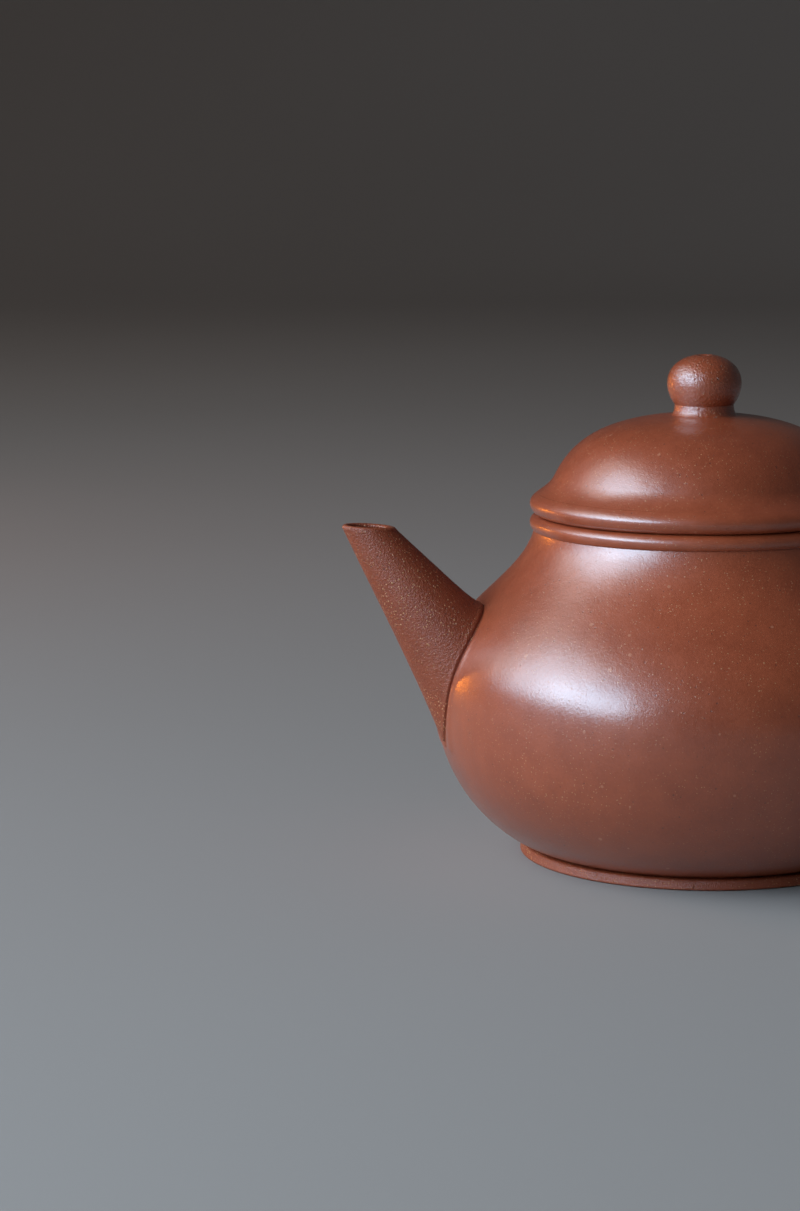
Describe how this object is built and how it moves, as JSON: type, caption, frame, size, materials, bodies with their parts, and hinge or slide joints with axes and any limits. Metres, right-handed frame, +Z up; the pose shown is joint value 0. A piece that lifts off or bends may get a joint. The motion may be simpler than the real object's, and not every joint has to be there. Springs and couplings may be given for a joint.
{
  "type": "teapot",
  "caption": "Small round unglazed clay teapot with a steep straight spout, ear-shaped handle, inner strainer and a domed lift-off lid with a ball knob.",
  "frame": {"origin": "on the pot's axis, in the plane that the foot ring stands on", "axes": "+Z up along the pot's axis, the spout along -X, the handle along +X"},
  "size_m": [0.1114, 0.0816, 0.0759],
  "materials": {
    "burnished_clay": "burnished unglazed stoneware, soft satin gloss",
    "grainy_clay": "hand-smoothed unglazed stoneware with fine sandy grain",
    "inner_clay": "matt unglazed stoneware"
  },
  "bodies": {
    "pot": {"body_wall": "burnished_clay", "neck_ring": "burnished_clay", "mouth_ring": "burnished_clay", "base_disc": "inner_clay", "foot_ring": "grainy_clay", "spout": "grainy_clay", "spout_strainer": "inner_clay", "handle": "grainy_clay"},
    "lid": {"lid_rim": "burnished_clay", "lid_dome": "burnished_clay", "lid_flange": "inner_clay", "knob_seat": "grainy_clay", "knob": "grainy_clay"}
  },
  "joints": [
    {"name": "lid_lift", "type": "slide", "parent": "pot", "child": "lid", "axis": [0, 0, 1], "range_m": [0, 0.04]}
  ]
}
